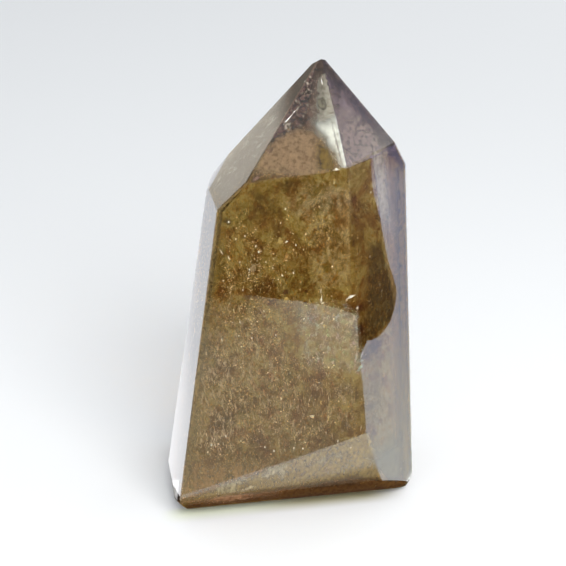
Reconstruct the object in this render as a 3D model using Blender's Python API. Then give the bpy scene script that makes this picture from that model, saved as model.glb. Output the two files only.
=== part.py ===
"""Smoky quartz point: one polished crystal that stands on its sawn base.

The body is cut the way a lapidary cuts it, from a block, one flat facet after
another: six prism faces that taper towards the top, six steep faces that meet
at the tip with a small shoulder facet beside them on the left, a shallow belly
facet low on the front, and a turned-under foot around the base.  Every arris
is then broken with narrow polished flats.

Metres, +Z up.  The origin is the middle of the base.
"""
import math

import bmesh
import bpy
from mathutils import Matrix, Vector

# ---------------------------------------------------------------- dimensions
MM = 0.001

BASE_LEVEL = -3.2 * MM          # sawn face, in the frame the facets are set in
TIP_FLAT = 0.05 * MM            # how far the extreme tip is worn down
BLOCK = (60 * MM, 60 * MM, 90 * MM)

# name: (azimuth, lean, reach)
# azimuth  degrees around +Z, 0 faces -Y (the front), positive towards +X
# lean     degrees the facet's normal rises above level
# reach    distance of the facet from the frame's centre, in millimetres
PRISM = {
    "front":       (7.3, -1.34, 7.61),
    "right":       (40.95, 1.81, 14.33),
    "back_right":  (111.0, 2.99, 21.89),
    "back":        (184.0, 2.6, 19.4),
    "back_left":   (-96.0, 8.92, 20.54),
    "left":        (-76.9, 7.5, 19.43),
}
POINT = {
    "front_tip":       (0.15, 42.67, 47.59),
    "right_tip":       (34.3, 42.69, 50.63),
    "back_right_tip":  (119.3, 30.05, 44.8),
    "back_tip":        (184.0, 45.0, 56.17),
    "back_left_tip":   (-115.71, 36.94, 43.12),
    "left_tip":        (-72.5, 44.92, 48.12),
    "left_shoulder":   (-90.0, 35.4, 42.05),
}
# the shallow facet low on the front: it starts low at the left, high at the right
BELLY = {
    "belly":       (9.65, -8.25, 6.48),
}
# the turned-under corners of the foot
FOOT = {
    "foot_corner_right": (78.0, -33.0, 19.1),
    "foot_corner_left":  (-88.0, -26.0, 17.7),
    "foot_left":         (-52.0, -42.0, 14.25),
}

# round-overs: (facet, facet, radius in mm, number of flats, flare)
# flare is how much the radius grows per millimetre along the edge towards +X
ROUNDED = [
    ("front", "belly", 20.0, 2, 0.0),
    ("belly", "base", 7.1, 9, 0.02),
    ("right", "base", 9.9, 8, -0.41),
    ("belly", "right", 1.5, 2, 0.0),
    ("right", "foot_corner_right", 4.0, 3, 0.0),
    ("back_right", "foot_corner_right", 4.0, 2, 0.0),
    ("left", "foot_corner_left", 4.0, 2, 0.0),
    ("left", "foot_left", 2.0, 2, 0.0),
    ("foot_left", "foot_corner_left", 4.0, 2, 0.0),
    ("foot_corner_right", "base", 3.0, 4, 0.0),
    ("foot_corner_left", "base", 3.0, 4, 0.0),
    ("foot_left", "base", 3.0, 4, 0.0),
    ("left", "base", 0.8, 3, 0.0),
    ("back_right", "base", 0.8, 3, 0.0),
    ("back", "base", 0.8, 3, 0.0),
    ("back_left", "base", 0.8, 3, 0.0),
]
ARRIS_RADIUS = 0.45             # millimetres, on every other edge
ARRIS_FLATS = 2
SHARP_ENOUGH = math.radians(14) # edges flatter than this are left alone

QUARTZ_COLOUR = (0.235, 0.155, 0.066, 1.0)
QUARTZ_ROUGHNESS = 0.04
QUARTZ_IOR = 1.545


# ---------------------------------------------------------------- facets
def facet_plane(azimuth, lean, reach):
    """Outward normal and distance from the centre of one facet."""
    a, t = math.radians(azimuth), math.radians(lean)
    normal = Vector((math.sin(a) * math.cos(t), -math.cos(a) * math.cos(t), math.sin(t)))
    return normal, reach * MM


def cut(bm, normal, distance):
    """Saw everything beyond one plane off a convex body and close the cut."""
    geom = bm.verts[:] + bm.edges[:] + bm.faces[:]
    result = bmesh.ops.bisect_plane(
        bm, geom=geom, dist=1e-7, plane_co=normal * distance, plane_no=normal,
        clear_outer=True, clear_inner=False)
    rim = [e for e in result["geom_cut"] if isinstance(e, bmesh.types.BMEdge)]
    if len(rim) >= 3:
        bmesh.ops.edgeloop_fill(bm, edges=rim)


def round_over(bm, plane_a, plane_b, radius, flats, flare=0.0):
    """Replace the edge between two facets with flats tangent to a cylinder,
    or with a flare to a cone whose radius grows along the edge."""
    (na, da), (nb, db) = plane_a, plane_b
    along = na.cross(nb)
    if along.length < 1e-6:
        return
    along.normalize()
    if along.x < 0:
        along.negate()
    foot = Matrix((na, nb, along)).inverted() @ Vector((da, db, 0.0))
    bisector = (na + nb).normalized() / math.cos(na.angle(nb) / 2)
    for k in range(1, flats + 1):
        n = na.slerp(nb, k / (flats + 1)).normalized()
        touch = foot + (n - bisector) * radius
        step = along + (n - bisector) * flare
        n = step.cross(along.cross(n)).normalized() * (1 if step.cross(along.cross(n)).dot(n) > 0 else -1)
        cut(bm, n, n.dot(touch))


def break_arrises(bm, radius, flats):
    """Round every remaining sharp edge a little."""
    edges = []
    for edge in bm.edges:
        if len(edge.link_faces) != 2 or edge.calc_length() < 1.2 * MM:
            continue
        fa, fb = edge.link_faces
        if fa.normal.angle(fb.normal) < SHARP_ENOUGH:
            continue
        mid = (edge.verts[0].co + edge.verts[1].co) / 2
        edges.append(((fa.normal.copy(), fa.normal.dot(mid)), (fb.normal.copy(), fb.normal.dot(mid))))
    for plane_a, plane_b in edges:
        round_over(bm, plane_a, plane_b, radius, flats)


def crystal_mesh():
    bm = bmesh.new()
    bmesh.ops.create_cube(bm, size=1.0)
    bmesh.ops.scale(bm, vec=BLOCK, verts=bm.verts)
    bmesh.ops.translate(bm, vec=(0, 0, BLOCK[2] / 2 - 4 * MM), verts=bm.verts)

    planes = {"base": (Vector((0, 0, -1)), -BASE_LEVEL)}
    for group in (PRISM, POINT, BELLY, FOOT):
        for name, setting in group.items():
            planes[name] = facet_plane(*setting)
    for normal, distance in planes.values():
        cut(bm, normal, distance)
    bm.normal_update()

    # the extreme tip is worn to a tiny flat
    tip = max(bm.verts, key=lambda v: v.co.z).co.copy()
    cut(bm, Vector((0.1, -0.25, 0.96)).normalized(), Vector((0.1, -0.25, 0.96)).normalized().dot(tip) - TIP_FLAT)

    for a, b, radius, flats, flare in ROUNDED:
        round_over(bm, planes[a], planes[b], radius * MM, flats, flare)
    bm.normal_update()
    break_arrises(bm, ARRIS_RADIUS * MM, ARRIS_FLATS)

    bmesh.ops.remove_doubles(bm, verts=bm.verts, dist=2e-6)
    bmesh.ops.dissolve_degenerate(bm, edges=bm.edges, dist=2e-6)
    bmesh.ops.recalc_face_normals(bm, faces=bm.faces)

    # origin to the middle of the base
    xs = [v.co.x for v in bm.verts]
    ys = [v.co.y for v in bm.verts]
    zs = [v.co.z for v in bm.verts]
    shift = Vector((-(min(xs) + max(xs)) / 2, -(min(ys) + max(ys)) / 2, -min(zs)))
    bmesh.ops.translate(bm, vec=shift, verts=bm.verts)
    return bm, shift


def smoky_quartz():
    mat = bpy.data.materials.new("smoky_quartz")
    mat.use_nodes = True
    mat.diffuse_color = QUARTZ_COLOUR
    shader = mat.node_tree.nodes["Principled BSDF"]
    shader.inputs["Base Color"].default_value = QUARTZ_COLOUR
    shader.inputs["Metallic"].default_value = 0.0
    shader.inputs["Roughness"].default_value = QUARTZ_ROUGHNESS
    shader.inputs["IOR"].default_value = QUARTZ_IOR
    shader.inputs["Transmission Weight"].default_value = 1.0
    return mat


def main():
    for obj in list(bpy.data.objects):
        bpy.data.objects.remove(obj, do_unlink=True)
    bm, shift = crystal_mesh()
    mesh = bpy.data.meshes.new("quartz_point")
    bm.to_mesh(mesh)
    bm.free()
    crystal = bpy.data.objects.new("quartz_point", mesh)
    bpy.context.scene.collection.objects.link(crystal)
    mesh.materials.append(smoky_quartz())


main()
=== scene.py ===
import math

import bmesh
import bpy
import numpy as np
from mathutils import Matrix, Vector
from mathutils.bvhtree import BVHTree


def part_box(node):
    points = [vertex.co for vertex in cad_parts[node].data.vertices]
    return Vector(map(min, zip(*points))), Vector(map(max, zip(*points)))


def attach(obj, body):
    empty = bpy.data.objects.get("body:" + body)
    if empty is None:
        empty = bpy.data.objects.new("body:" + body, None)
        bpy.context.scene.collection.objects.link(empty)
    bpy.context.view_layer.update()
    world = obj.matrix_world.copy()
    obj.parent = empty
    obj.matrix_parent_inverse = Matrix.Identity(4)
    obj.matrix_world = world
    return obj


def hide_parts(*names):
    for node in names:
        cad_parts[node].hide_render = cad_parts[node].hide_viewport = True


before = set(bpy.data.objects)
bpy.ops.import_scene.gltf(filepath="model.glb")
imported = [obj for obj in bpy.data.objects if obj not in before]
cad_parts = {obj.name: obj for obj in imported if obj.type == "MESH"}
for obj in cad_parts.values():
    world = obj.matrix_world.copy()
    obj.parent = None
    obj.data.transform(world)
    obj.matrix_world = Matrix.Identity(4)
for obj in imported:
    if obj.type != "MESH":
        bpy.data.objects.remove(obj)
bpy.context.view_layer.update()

MM = 0.001
NODE = "quartz_point"

# ------------------------------------------------------------------ facets
# (azimuth, lean, reach in mm) as in the CAD part: azimuth round +Z from -Y
# towards +X, lean of the normal above level, reach from the facets' centre
BASE_LEVEL = -3.2 * MM
TIP_FLAT = 0.05 * MM
PRISM = {
    "front":       (7.3, -1.34, 7.61),
    "right":       (40.95, 1.81, 14.33),
    "back_right":  (111.0, 2.99, 21.89),
    "back":        (184.0, 2.6, 19.4),
    "back_left":   (-96.0, 8.92, 20.54),
    "left":        (-76.9, 7.5, 19.43),
}
POINT = {
    "front_tip":       (0.15, 42.67, 47.59),
    "right_tip":       (34.3, 42.69, 50.63),
    "back_right_tip":  (119.3, 30.05, 44.8),
    "back_tip":        (184.0, 45.0, 56.17),
    "back_left_tip":   (-115.71, 36.94, 43.12),
    "left_tip":        (-72.5, 44.92, 48.12),
    "left_shoulder":   (-90.0, 35.4, 42.05),
}
BELLY = {
    "belly":       (9.65, -8.25, 6.48),
}
FOOT = {
    "foot_corner_right": (78.0, -33.0, 19.1),
    "foot_corner_left":  (-88.0, -26.0, 17.7),
    "foot_left":         (-52.0, -42.0, 14.25),
}
ROUNDED = [
    ("front", "belly", 20.0, 6, 0.0),
    ("belly", "base", 7.1, 20, 0.02),
    ("right", "base", 9.9, 18, -0.41),
    ("belly", "right", 1.5, 5, 0.0),
    ("right", "foot_corner_right", 4.0, 7, 0.0),
    ("back_right", "foot_corner_right", 4.0, 5, 0.0),
    ("left", "foot_corner_left", 4.0, 5, 0.0),
    ("left", "foot_left", 2.0, 5, 0.0),
    ("foot_left", "foot_corner_left", 4.0, 5, 0.0),
    ("foot_corner_right", "base", 3.0, 8, 0.0),
    ("foot_corner_left", "base", 3.0, 8, 0.0),
    ("foot_left", "base", 3.0, 8, 0.0),
    ("left", "base", 0.8, 4, 0.0),
    ("back_right", "base", 0.8, 4, 0.0),
    ("back", "base", 0.8, 4, 0.0),
    ("back_left", "base", 0.8, 4, 0.0),
]
ARRIS_RADIUS = 0.45 * MM
ARRIS_FLATS = 3


def facet_plane(azimuth, lean, reach):
    a, t = math.radians(azimuth), math.radians(lean)
    normal = Vector((math.sin(a) * math.cos(t), -math.cos(a) * math.cos(t), math.sin(t)))
    return normal, reach * MM


PLANES = {"base": (Vector((0, 0, -1)), -BASE_LEVEL)}
for _group in (PRISM, POINT, BELLY, FOOT):
    for _name, _set in _group.items():
        PLANES[_name] = facet_plane(*_set)


SURFACE = []                    # every plane that bounds the body, as (normal, distance)


def cut(bm, normal, distance):
    SURFACE.append((tuple(normal), distance))
    geom = bm.verts[:] + bm.edges[:] + bm.faces[:]
    got = bmesh.ops.bisect_plane(bm, geom=geom, dist=1e-7, plane_co=normal * distance,
                                 plane_no=normal, clear_outer=True, clear_inner=False)
    rim = [e for e in got["geom_cut"] if isinstance(e, bmesh.types.BMEdge)]
    if len(rim) >= 3:
        bmesh.ops.edgeloop_fill(bm, edges=rim)


def round_over(bm, plane_a, plane_b, radius, flats, flare=0.0):
    (na, da), (nb, db) = plane_a, plane_b
    along = na.cross(nb)
    if along.length < 1e-6:
        return
    along.normalize()
    if along.x < 0:
        along.negate()
    foot = Matrix((na, nb, along)).inverted() @ Vector((da, db, 0.0))
    bisector = (na + nb).normalized() / math.cos(na.angle(nb) / 2)
    for k in range(1, flats + 1):
        n = na.slerp(nb, k / (flats + 1)).normalized()
        touch = foot + (n - bisector) * radius
        step = along + (n - bisector) * flare
        side = step.cross(along.cross(n)).normalized()
        n = side if side.dot(n) > 0 else -side
        cut(bm, n, n.dot(touch))


def crystal_body():
    """The same facets as the CAD solid, with finer round-overs."""
    bm = bmesh.new()
    bmesh.ops.create_cube(bm, size=1.0)
    bmesh.ops.scale(bm, vec=(60 * MM, 60 * MM, 90 * MM), verts=bm.verts)
    bmesh.ops.translate(bm, vec=(0, 0, 41 * MM), verts=bm.verts)
    for n, d in PLANES.values():
        cut(bm, n, d)
    tip = max(bm.verts, key=lambda v: v.co.z).co.copy()
    n = Vector((0.1, -0.25, 0.96)).normalized()
    cut(bm, n, n.dot(tip) - TIP_FLAT)
    for a, b, radius, flats, flare in ROUNDED:
        round_over(bm, PLANES[a], PLANES[b], radius * MM, flats, flare)
    bm.normal_update()
    edges = []
    for e in bm.edges:
        if len(e.link_faces) != 2 or e.calc_length() < 1.2 * MM:
            continue
        fa, fb = e.link_faces
        if fa.normal.angle(fb.normal) < math.radians(14):
            continue
        mid = (e.verts[0].co + e.verts[1].co) / 2
        edges.append(((fa.normal.copy(), fa.normal.dot(mid)), (fb.normal.copy(), fb.normal.dot(mid))))
    for pa, pb in edges:
        round_over(bm, pa, pb, ARRIS_RADIUS, ARRIS_FLATS)
    bmesh.ops.remove_doubles(bm, verts=bm.verts, dist=2e-6)
    bmesh.ops.dissolve_degenerate(bm, edges=bm.edges, dist=2e-6)
    bmesh.ops.recalc_face_normals(bm, faces=bm.faces)
    return bm


body = crystal_body()
xs = [v.co.x for v in body.verts]; ys = [v.co.y for v in body.verts]; zs = [v.co.z for v in body.verts]
clo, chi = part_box(NODE)
SHIFT = Vector(((clo[0] + chi[0] - min(xs) - max(xs)) / 2, (clo[1] + chi[1] - min(ys) - max(ys)) / 2, clo[2] - min(zs)))
bmesh.ops.translate(body, vec=SHIFT, verts=body.verts)


def P(x, y, z):
    """Millimetres in the facets' frame to metres in the part's frame."""
    return Vector((x * MM, y * MM, z * MM)) + SHIFT


mesh = bpy.data.meshes.new("crystal")
body.to_mesh(mesh); body.free()
crystal = bpy.data.objects.new("crystal", mesh)
bpy.context.scene.collection.objects.link(crystal)
for p in mesh.polygons:
    p.use_smooth = True
mesh.set_sharp_from_angle(angle=math.radians(6))


# ------------------------------------------------------------------ materials
def material(name):
    m = bpy.data.materials.new(name)
    m.use_nodes = True
    nt = m.node_tree
    return m, nt, nt.nodes["Principled BSDF"], nt.nodes["Material Output"]


def quartz_material():
    m, nt, b, out = material("smoky_quartz")
    b.inputs["Base Color"].default_value = (1, 1, 1, 1)
    b.inputs["Roughness"].default_value = 0.0
    b.inputs["IOR"].default_value = 1.545
    b.inputs["Transmission Weight"].default_value = 1.0
    v = nt.nodes.new("ShaderNodeVolumeAbsorption")
    v.inputs["Color"].default_value = (0.70, 0.586, 0.179, 1)
    v.inputs["Density"].default_value = 140.0
    nt.links.new(v.outputs[0], out.inputs["Volume"])
    return m


mesh.materials.append(quartz_material())
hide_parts(NODE)
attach(crystal, "root")


# ------------------------------------------------------------------ what is sealed inside
# Everything below is placed in the facets' frame, in millimetres.
EYE = np.array([0.0, -math.cos(math.radians(25)) * 260.0, 38.0 + math.sin(math.radians(25)) * 260.0])
IOR = 1.545


def seen(px, py, facet, depth):
    """The point that shows at a place of the view, depth mm of quartz behind a facet."""
    e = math.radians(25)
    fw, up = np.array([0, math.cos(e), -math.sin(e)]), np.array([0, math.sin(e), math.cos(e)])
    d = fw + (px - 283) / 1560 * np.array([1.0, 0, 0]) - (py - 283) / 1560 * up
    d /= np.linalg.norm(d)
    n, reach = PLANES[facet]
    n = np.array(n)
    p = EYE + d * ((reach / MM - EYE @ n) / (d @ n))
    c = -d @ n
    t = d / IOR + (c / IOR - math.sqrt(1 - (1 - c * c) / IOR ** 2)) * n
    return p + t * depth


PN = np.array([n for n, _ in SURFACE])
PD = np.array([d / MM for _, d in SURFACE])


def depth_inside(p):
    """How far each point lies under the nearest facet, in mm."""
    return (PD - p @ PN.T).min(axis=1)


def lattice_noise(p, cell, seed):
    """Smooth value noise, 0..1, with cells of the given size (a number or x, y, z)."""
    table = np.random.RandomState(seed).rand(40, 40, 64)
    q = p / np.broadcast_to(np.array(cell, float), (3,)) + 500.37
    i = np.floor(q).astype(int)
    f = q - i
    f = f * f * (3 - 2 * f)
    total = 0.0
    for dx in (0, 1):
        for dy in (0, 1):
            for dz in (0, 1):
                w = (np.abs(1 - dx - f[:, 0]) * np.abs(1 - dy - f[:, 1]) * np.abs(1 - dz - f[:, 2]))
                total = total + w * table[(i[:, 0] + dx) % 40, (i[:, 1] + dy) % 40, (i[:, 2] + dz) % 64]
    return total


def random_turns(r, n):
    q = r.normal(size=(n, 4))
    q /= np.linalg.norm(q, axis=1)[:, None]
    w, x, y, z = q.T
    return np.stack([1 - 2 * (y * y + z * z), 2 * (x * y - z * w), 2 * (x * z + y * w),
                     2 * (x * y + z * w), 1 - 2 * (x * x + z * z), 2 * (y * z - x * w),
                     2 * (x * z - y * w), 2 * (y * z + x * w), 1 - 2 * (x * x + y * y)], axis=1).reshape(n, 3, 3)


def many(name, shape, faces, centres, turns, sizes, mat):
    """One mesh of many small closed shapes. sizes is (n, 3) in mm."""
    shape, faces = np.array(shape, float), np.array(faces)
    v = shape[None] * sizes[:, None, :]
    v = np.einsum("nij,nkj->nki", turns, v) + centres[:, None, :]
    n, k = len(centres), len(shape)
    co = (v.reshape(-1, 3) * MM + np.array(SHIFT)).astype(np.float32)
    f = (faces[None] + (np.arange(n) * k)[:, None, None]).reshape(-1, 3)
    me = bpy.data.meshes.new(name)
    me.vertices.add(len(co))
    me.vertices.foreach_set("co", co.ravel())
    me.loops.add(f.size)
    me.loops.foreach_set("vertex_index", f.ravel())
    me.polygons.add(len(f))
    me.polygons.foreach_set("loop_start", np.arange(0, f.size, 3))
    me.polygons.foreach_set("loop_total", np.full(len(f), 3))
    me.update(calc_edges=True)
    me.validate()
    me.materials.append(mat)
    o = bpy.data.objects.new(name, me)
    bpy.context.scene.collection.objects.link(o)
    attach(o, "root")
    return o


TETRA = [(1, 1, 1), (-1, -1, 1), (-1, 1, -1), (1, -1, -1)], [(0, 1, 3), (0, 2, 1), (0, 3, 2), (1, 2, 3)]
SPINDLE = ([(0, 0, 1), (1, 0, 0), (-0.5, 0.87, 0), (-0.5, -0.87, 0), (0, 0, -1)],
           [(0, 1, 2), (0, 2, 3), (0, 3, 1), (4, 2, 1), (4, 3, 2), (4, 1, 3)])


def grain_material(name, stops, roughness, scale=2600.0, painted_glow=0.0):
    """Opaque flake whose colour wanders from flake to flake."""
    m, nt, b, out = material(name)
    co = nt.nodes.new("ShaderNodeTexCoord")
    no = nt.nodes.new("ShaderNodeTexNoise")
    no.inputs["Scale"].default_value = scale
    no.inputs["Detail"].default_value = 3.0
    nt.links.new(co.outputs["Object"], no.inputs["Vector"])
    ra = nt.nodes.new("ShaderNodeValToRGB")
    while len(ra.color_ramp.elements) < len(stops):
        ra.color_ramp.elements.new(0.5)
    for el, (at, colour) in zip(ra.color_ramp.elements, stops):
        el.position = at
        el.color = (*colour, 1)
    nt.links.new(no.outputs["Fac"], ra.inputs["Fac"])
    nt.links.new(ra.outputs[0], b.inputs["Base Color"])
    b.inputs["Roughness"].default_value = roughness
    b.inputs["IOR"].default_value = 1.5
    # painted light: the flake glows in its own colour, standing in for the light it catches
    if painted_glow:
        nt.links.new(ra.outputs[0], b.inputs["Emission Color"])
        b.inputs["Emission Strength"].default_value = painted_glow
    return m


def scatter(r, n, density):
    """n points in the body, drawn by a density function of the points (0..1)."""
    lo, hi = np.array([-22.0, -10.5, BASE_LEVEL / MM]), np.array([23.0, 21.0, 76.0])
    got = []
    have = 0
    while have < n:
        p = lo + (hi - lo) * r.rand(60000, 3)
        p = p[depth_inside(p) > 0.35]
        p = p[r.rand(len(p)) < density(p)]
        got.append(p)
        have += len(p)
    return np.concatenate(got)[:n]


def cloudiness(p):
    big = lattice_noise(p, (9, 9, 13), 3)
    mid = lattice_noise(p, (3.2, 3.2, 5), 4)
    fine = lattice_noise(p, (1.1, 1.1, 2.4), 5)
    return np.clip(0.1 + 1.5 * (0.45 * big + 0.35 * mid + 0.3 * fine - 0.34), 0.04, 1)


def golden(p):
    left = np.clip(1.1 - (p[:, 0] + 6) / 16, 0.25, 1)
    level = 0.45 + 0.55 * np.exp(-((p[:, 2] - 40) / 18) ** 2)
    return cloudiness(p) * left * level


def shallow(mean):
    """Thins the points out with depth under the nearest facet."""
    def density(p):
        return np.exp(-depth_inside(p) / mean)
    return density


def both(*parts):
    def density(p):
        d = 1.0
        for part in parts:
            d = d * part(p)
        return d
    return density


def leaning(r, n, spread, towards=(0.0, 0.0)):
    """Turns that keep a shape's z axis near upright; spread and lean in degrees."""
    ax = np.radians(spread * r.normal(size=n) + towards[0])
    ay = np.radians(spread * r.normal(size=n) + towards[1])
    az = 2 * math.pi * r.rand(n)
    zero, one = np.zeros(n), np.ones(n)
    rz = np.stack([np.cos(az), -np.sin(az), zero, np.sin(az), np.cos(az), zero, zero, zero, one], 1).reshape(n, 3, 3)
    rx = np.stack([one, zero, zero, zero, np.cos(ax), -np.sin(ax), zero, np.sin(ax), np.cos(ax)], 1).reshape(n, 3, 3)
    ry = np.stack([np.cos(ay), zero, np.sin(ay), zero, one, zero, -np.sin(ay), zero, np.cos(ay)], 1).reshape(n, 3, 3)
    return ry @ rx @ rz


r = np.random.RandomState(11)


def near_front(low, high, left, right):
    """Keeps points between two heights and, softly, between two sides, in mm."""
    def density(p):
        z = np.clip((p[:, 2] - low) / 6, 0, 1) * np.clip((high - p[:, 2]) / 6, 0, 1)
        x = np.clip((p[:, 0] - left) / 4, 0, 1) * np.clip((right - p[:, 0]) / 6, 0, 1)
        return z * x
    return density


def clusters(cell, seed, sharp=6.0, level=0.58):
    def density(p):
        return np.clip((lattice_noise(p, cell, seed) - level) * sharp + 0.15, 0.03, 1)
    return density


def clear_of(names, gap):
    """Keeps points away from some facets, by gap mm and then softly."""
    def density(p):
        d = 1.0
        for name in names:
            normal, reach = PLANES[name]
            d = d * np.clip((reach / MM - p @ np.array(normal) - gap) / 1.5, 0, 1)
        return d
    return density


LEFT_SIDE = ("left", "left_tip", "left_shoulder")
GOLD = [(0.30, (0.42, 0.24, 0.07)), (0.5, (0.78, 0.54, 0.22)), (0.68, (0.97, 0.88, 0.66))]
# gold strokes and grains: real flecks, given a painted glow for the light they catch
n = 5200
pts = scatter(r, n, both(golden, shallow(3.0), clusters((2.6, 2.6, 4.0), 21), near_front(2, 62, -17, 20), clear_of(LEFT_SIDE, 1.6)))
size = np.stack([0.045 * np.exp(0.35 * r.normal(size=n)), 0.03 * np.ones(n), 0.20 * np.exp(0.5 * r.normal(size=n))], 1)
many("gold_strokes", *SPINDLE, pts, leaning(r, n, 16, (0, -8)), size, grain_material("gold_stroke", GOLD, 0.35, painted_glow=0.05))
n = 4200
pts = scatter(r, n, both(golden, shallow(2.6), clusters((2.0, 2.0, 2.6), 22), near_front(8, 56, -18, 14), clear_of(LEFT_SIDE, 1.6)))
size = 0.050 * np.exp(0.5 * r.normal(size=(n, 1))) * (1 + 0.5 * r.rand(n, 3))
size[:, 2] *= 0.5
many("gold_grains", *TETRA, pts, random_turns(r, n), size,
     grain_material("gold_grain", [(0.30, (0.60, 0.38, 0.14)), (0.5, (0.90, 0.70, 0.38)), (0.66, (1.0, 0.96, 0.86))], 0.3, painted_glow=0.25))
n = 2600
pts = scatter(r, n, both(cloudiness, shallow(5.0), clusters((3.0, 3.0, 4.0), 23), clear_of(LEFT_SIDE, 1.6)))
size = np.stack([0.055 * np.exp(0.35 * r.normal(size=n)), 0.04 * np.ones(n), 0.18 * np.exp(0.5 * r.normal(size=n))], 1)
many("smoky_strokes", *SPINDLE, pts, leaning(r, n, 18, (0, -6)), size,
     grain_material("smoky_fleck", [(0.35, (0.10, 0.05, 0.015)), (0.65, (0.34, 0.20, 0.08))], 0.5))


def far_from_left(me):
    """For each point of a sheet, 0 at the facets on the left rising to 1 some mm in."""
    p = np.array([v.co[:] for v in me.vertices]) / MM - np.array(SHIFT) / MM
    return clear_of(LEFT_SIDE, 1.2)(p)


def sheet(name, azimuth, lean, reach, mat, wave=0.5, step=0.5, seed=0, inset=0.4, fade=2.5, zone=None):
    """A gently waving sheet across the body, cut off just under the surface.
    Its attribute "body" runs from 0 at the sheet's rim to 1 well inside;
    zone = (point, half width, half height, turn) keeps only an ellipse of it."""
    n, d = facet_plane(azimuth, lean, reach)
    u = Vector((0, 0, 1)).cross(n).normalized()
    w = n.cross(u)
    nu, nw = int(64 / step), int(100 / step)
    iu, iw = np.meshgrid(np.arange(nu + 1), np.arange(nw + 1), indexing="ij")
    base = np.array(n) * (d / MM) + np.array([0, 0, 36.0]) - np.array(n) * (36.0 * n.z)
    p = base + (iu.reshape(-1, 1) * step - 32) * np.array(u) + (iw.reshape(-1, 1) * step - 50) * np.array(w)
    p = p + (lattice_noise(p, 9.0, 300 + seed) - 0.5)[:, None] * 2 * wave * np.array(n)

    def ellipse(q):
        at, rx, rz, turn = zone
        q = q - at
        a, c = q @ np.array(u), q @ np.array(w)
        t = math.radians(turn)
        a, c = a * math.cos(t) + c * math.sin(t), -a * math.sin(t) + c * math.cos(t)
        ragged = 1 + 0.5 * (lattice_noise(q + 77.7 * seed, 1.6, 400 + seed) - 0.5)
        return np.sqrt((a / rx) ** 2 + (c / rz) ** 2) * ragged

    bm = bmesh.new()
    vs = [bm.verts.new(tuple(c)) for c in p]
    near = depth_inside(p) > -2.5
    if zone:
        near &= ellipse(p) < 1.0
    for i in range(nu):
        for j in range(nw):
            k = [i * (nw + 1) + j, (i + 1) * (nw + 1) + j, (i + 1) * (nw + 1) + j + 1, i * (nw + 1) + j + 1]
            if (near[k].all() if zone else near[k].any()):
                bm.faces.new([vs[x] for x in k])
    bmesh.ops.delete(bm, geom=[v for v in bm.verts if not v.link_faces], context="VERTS")
    for pn, pd in SURFACE:
        pn, pd = Vector(pn), pd / MM - inset
        bm.verts.ensure_lookup_table()
        if not bm.verts or max(pn.dot(v.co) for v in bm.verts) <= pd:
            continue
        bmesh.ops.bisect_plane(bm, geom=bm.verts[:] + bm.edges[:] + bm.faces[:], dist=1e-5, plane_co=pn * pd,
                               plane_no=pn, clear_outer=True, clear_inner=False)
    at = np.array([v.co[:] for v in bm.verts])
    side = at - at @ np.array(n)[:, None] * np.array(n)         # rim distance is taken along the sheet
    along = []
    for pn, pd in zip(PN, PD):
        flat = pn - (pn @ np.array(n)) * np.array(n)
        size = np.linalg.norm(flat)
        along.append(np.full(len(at), 99.0) if size < 0.2 else (pd - at @ pn) / size)
    solid = np.clip((np.min(along, axis=0) - inset) / fade, 0, 1)
    if zone:
        solid = np.minimum(solid, np.clip((1.0 - ellipse(at)) / 0.6, 0, 1))
    solid = solid * solid * (3 - 2 * solid)
    for v in bm.verts:
        v.co = v.co * MM + SHIFT
    me = bpy.data.meshes.new(name)
    bm.to_mesh(me); bm.free()
    me.attributes.new("body", "FLOAT", "POINT").data.foreach_set("value", solid.astype(np.float32))
    me.attributes.new("gilt", "FLOAT", "POINT").data.foreach_set("value", (solid * far_from_left(me)).astype(np.float32))
    for f in me.polygons:
        f.use_smooth = True
    me.materials.append(mat)
    o = bpy.data.objects.new(name, me)
    bpy.context.scene.collection.objects.link(o)
    o.visible_shadow = False
    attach(o, "root")
    return o


def noise_node(nt, coords, scale, stretch=1.0, detail=6.0, rough=0.6, distort=0.0, shift=0.0):
    mp = nt.nodes.new("ShaderNodeMapping")
    mp.inputs["Scale"].default_value = (1, 1, stretch)
    mp.inputs["Location"].default_value = (shift, shift * 0.7, shift * 1.3)
    nt.links.new(coords, mp.inputs["Vector"])
    no = nt.nodes.new("ShaderNodeTexNoise")
    no.inputs["Scale"].default_value = scale
    no.inputs["Detail"].default_value = detail
    no.inputs["Roughness"].default_value = rough
    no.inputs["Distortion"].default_value = distort
    nt.links.new(mp.outputs[0], no.inputs["Vector"])
    return no.outputs["Fac"]


def ramp_node(nt, value, stops):
    ra = nt.nodes.new("ShaderNodeValToRGB")
    while len(ra.color_ramp.elements) < len(stops):
        ra.color_ramp.elements.new(0.5)
    for el, (at, colour) in zip(ra.color_ramp.elements, stops):
        el.position = at
        el.color = (*colour, 1)
    nt.links.new(value, ra.inputs["Fac"])
    return ra.outputs[0]


def math_node(nt, op, a, b, clamp=False):
    mt = nt.nodes.new("ShaderNodeMath")
    mt.operation = op
    mt.use_clamp = clamp
    for k, x in enumerate((a, b)):
        if hasattr(x, "is_output"):
            nt.links.new(x, mt.inputs[k])
        elif x is not None:
            mt.inputs[k].default_value = x
    return mt.outputs[0]


def mix_colour(nt, fac, a, b):
    mx = nt.nodes.new("ShaderNodeMix")
    mx.data_type = "RGBA"
    for k, x in ((0, fac), (6, a), (7, b)):
        if hasattr(x, "is_output"):
            nt.links.new(x, mx.inputs[k])
        else:
            mx.inputs[k].default_value = x if k == 0 else (*x, 1)
    return mx.outputs[2]


def body_value(nt, name="body"):
    at = nt.nodes.new("ShaderNodeAttribute")
    at.attribute_name = name
    return at.outputs["Fac"]


def bare_material(name):
    m = bpy.data.materials.new(name)
    m.use_nodes = True
    nt = m.node_tree
    nt.nodes.clear()
    return m, nt, nt.nodes.new("ShaderNodeTexCoord").outputs["Object"], nt.nodes.new("ShaderNodeOutputMaterial")


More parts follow.
